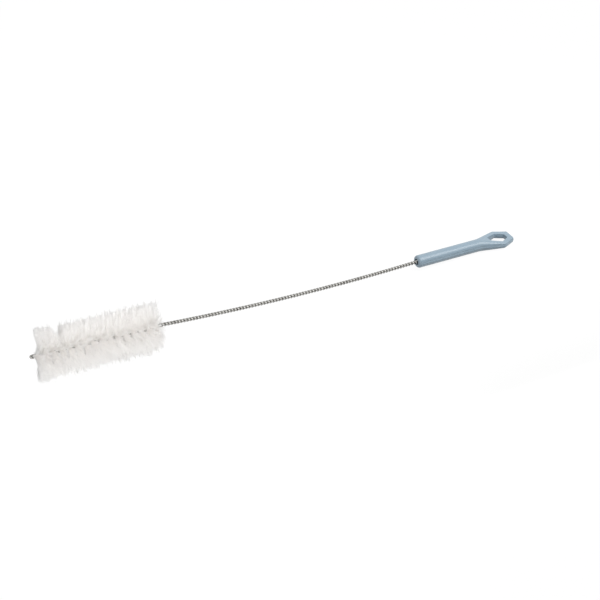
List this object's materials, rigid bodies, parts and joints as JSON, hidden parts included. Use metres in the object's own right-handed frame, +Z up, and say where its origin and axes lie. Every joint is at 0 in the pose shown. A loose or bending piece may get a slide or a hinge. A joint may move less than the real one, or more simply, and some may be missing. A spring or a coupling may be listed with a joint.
{
  "type": "bottle brush",
  "caption": "Twisted-wire bottle brush: a cylinder of pale nylon bristles on a bowed steel stem, with a round plastic grip that flares into a six-sided hanging eye.",
  "frame": {"origin": "on the bench, under the middle of the brush's length, with the brush lying at rest on its bristles and its grip", "axes": "+X along the brush from the folded nose to the hanging eye, +Z up from the bench, +Y across"},
  "size_m": [0.4997, 0.046, 0.0512],
  "materials": {
    "handle_plastic": "gloss",
    "wire_steel": "satin",
    "bristle_nylon": "satin"
  },
  "bodies": {
    "root": {"handle": "handle_plastic", "wire": "wire_steel", "bristles": "bristle_nylon"}
  },
  "joints": []
}
